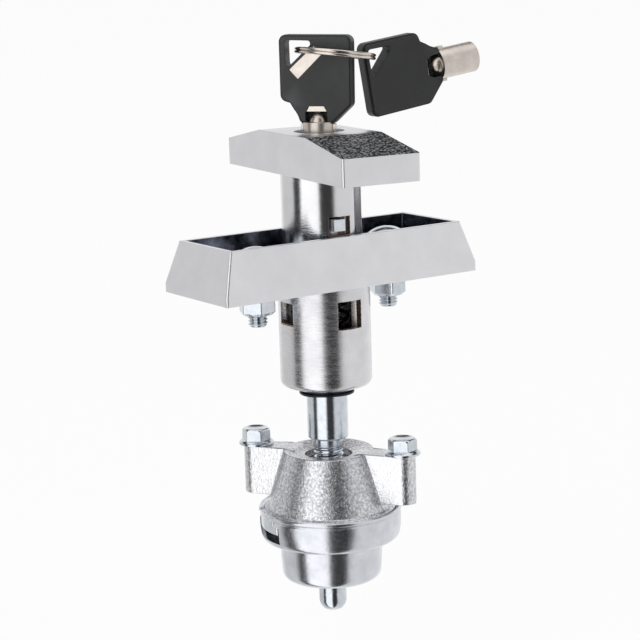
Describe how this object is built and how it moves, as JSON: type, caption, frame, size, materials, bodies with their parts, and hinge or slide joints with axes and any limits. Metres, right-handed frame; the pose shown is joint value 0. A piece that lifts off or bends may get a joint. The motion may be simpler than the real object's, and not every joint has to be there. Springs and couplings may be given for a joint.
{
  "type": "t-handle lock",
  "caption": "Pop-out T-handle lock: keyed handle in a dished escutcheon turns a threaded stud that draws into a quick-acting split nut receptacle; key and spare on a split ring.",
  "frame": {"origin": "axis of the barrel and stud at the door face, where the foot of the dish seats", "axes": "+Z out of the door towards the user, along the stud; +X along the length of the dish"},
  "size_m": [0.0992, 0.0812, 0.1818],
  "materials": {
    "cast_chrome": "satin chrome plated zinc casting",
    "drawn_nickel": "brushed nickel plate on drawn steel",
    "bright_chrome": "bright chrome plate",
    "zinc_plate": "bright blue zinc plate",
    "machined_steel": "machined steel",
    "cast_zinc": "as-cast zinc with sparkling grain",
    "black_steel": "black phosphated spring steel",
    "warm_nickel": "nickel plated brass",
    "black_plastic": "moulded black plastic"
  },
  "bodies": {
    "housing": {"escutcheon_dish": "cast_chrome", "housing_barrel": "drawn_nickel", "mounting_bolts": "zinc_plate", "flat_washers": "zinc_plate", "spring_washers": "zinc_plate", "mounting_nuts": "zinc_plate", "thrust_washer": "machined_steel"},
    "stud": {"drive_fork": "machined_steel", "threaded_stud": "zinc_plate", "retaining_ring": "black_steel", "popout_spring": "black_steel"},
    "handle": {"t_handle_head": "cast_chrome", "handle_shank": "bright_chrome", "lock_shell": "bright_chrome", "tumbler_block": "warm_nickel"},
    "plug": {"lock_plug": "warm_nickel", "tumbler_pins": "warm_nickel"},
    "catch": {"lock_bolt": "zinc_plate"},
    "key": {"key_bow": "black_plastic", "key_core": "warm_nickel", "key_tube": "warm_nickel"},
    "ring": {"split_ring": "warm_nickel"},
    "spare_key": {"spare_key_bow": "black_plastic", "spare_key_core": "warm_nickel", "spare_key_tube": "warm_nickel"},
    "receptacle": {"receptacle_cone": "cast_zinc", "receptacle_cup": "bright_chrome", "flange_screws": "zinc_plate", "jaw_spring": "black_steel"},
    "jaw_a": {"nut_jaw_a": "machined_steel"},
    "jaw_b": {"nut_jaw_b": "machined_steel"},
    "jaw_c": {"nut_jaw_c": "machined_steel"},
    "plate": {"jaw_plate": "zinc_plate"}
  },
  "joints": [
    {"name": "handle_turn", "type": "hinge", "parent": "housing", "child": "stud", "pos_m": [0, 0, 0], "axis": [0, 0, 1], "range_deg": [-802.7, 9000]},
    {"name": "handle_pop", "type": "slide", "parent": "stud", "child": "handle", "axis": [0, 0, 1], "range_m": [-0.018, 0], "stiffness_N_per_m": 300, "springref_m": 0.02, "deforming": ["popout_spring"]},
    {"name": "key_turn", "type": "hinge", "parent": "handle", "child": "plug", "pos_m": [0, 0, 0.04], "axis": [0, 0, 1], "range_deg": [0, 90]},
    {"name": "bolt_throw", "type": "slide", "parent": "handle", "child": "catch", "axis": [-0.1271, -0.9919, 0], "range_m": [0, 0.00206]},
    {"name": "key_pull", "type": "slide", "parent": "plug", "child": "key", "axis": [0, 0, 1], "range_m": [0, 0.0125]},
    {"name": "ring_swing", "type": "hinge", "parent": "key", "child": "ring", "pos_m": [-0.00409, 0.00505, 0.0709], "axis": [0.4226, 0.9063, 0], "range_deg": [-5, 5]},
    {"name": "spare_swing", "type": "hinge", "parent": "ring", "child": "spare_key", "pos_m": [0.01745, -0.00499, 0.06756], "axis": [0.4226, 0.9063, 0], "range_deg": [-8, 15]},
    {"name": "receptacle_travel", "type": "slide", "parent": "housing", "child": "receptacle", "axis": [0, 0, 1], "range_m": [-0.0397, 0.0036]},
    {"name": "jaw_a_slide", "type": "slide", "parent": "receptacle", "child": "jaw_a", "axis": [0.1545, -0.2676, -0.9511], "range_m": [0, 0.0036], "stiffness_N_per_m": 400, "springref_m": -0.005},
    {"name": "jaw_b_slide", "type": "slide", "parent": "receptacle", "child": "jaw_b", "axis": [0.1545, 0.2676, -0.9511], "range_m": [0, 0.0036]},
    {"name": "jaw_c_slide", "type": "slide", "parent": "receptacle", "child": "jaw_c", "axis": [-0.309, 0, -0.9511], "range_m": [0, 0.0036]},
    {"name": "plate_slide", "type": "slide", "parent": "receptacle", "child": "plate", "axis": [0, 0, -1], "range_m": [0, 0.00343], "deforming": ["jaw_spring"]}
  ],
  "couplings": [
    {"joint": "receptacle_travel", "follows": "handle_turn", "m_per_rad": -0.00025266},
    {"joint": "bolt_throw", "follows": "key_turn", "m_per_rad": 0.0013},
    {"joint": "jaw_b_slide", "follows": "jaw_a_slide", "ratio": 1},
    {"joint": "jaw_c_slide", "follows": "jaw_a_slide", "ratio": 1},
    {"joint": "plate_slide", "follows": "jaw_a_slide", "ratio": 0.95106}
  ]
}
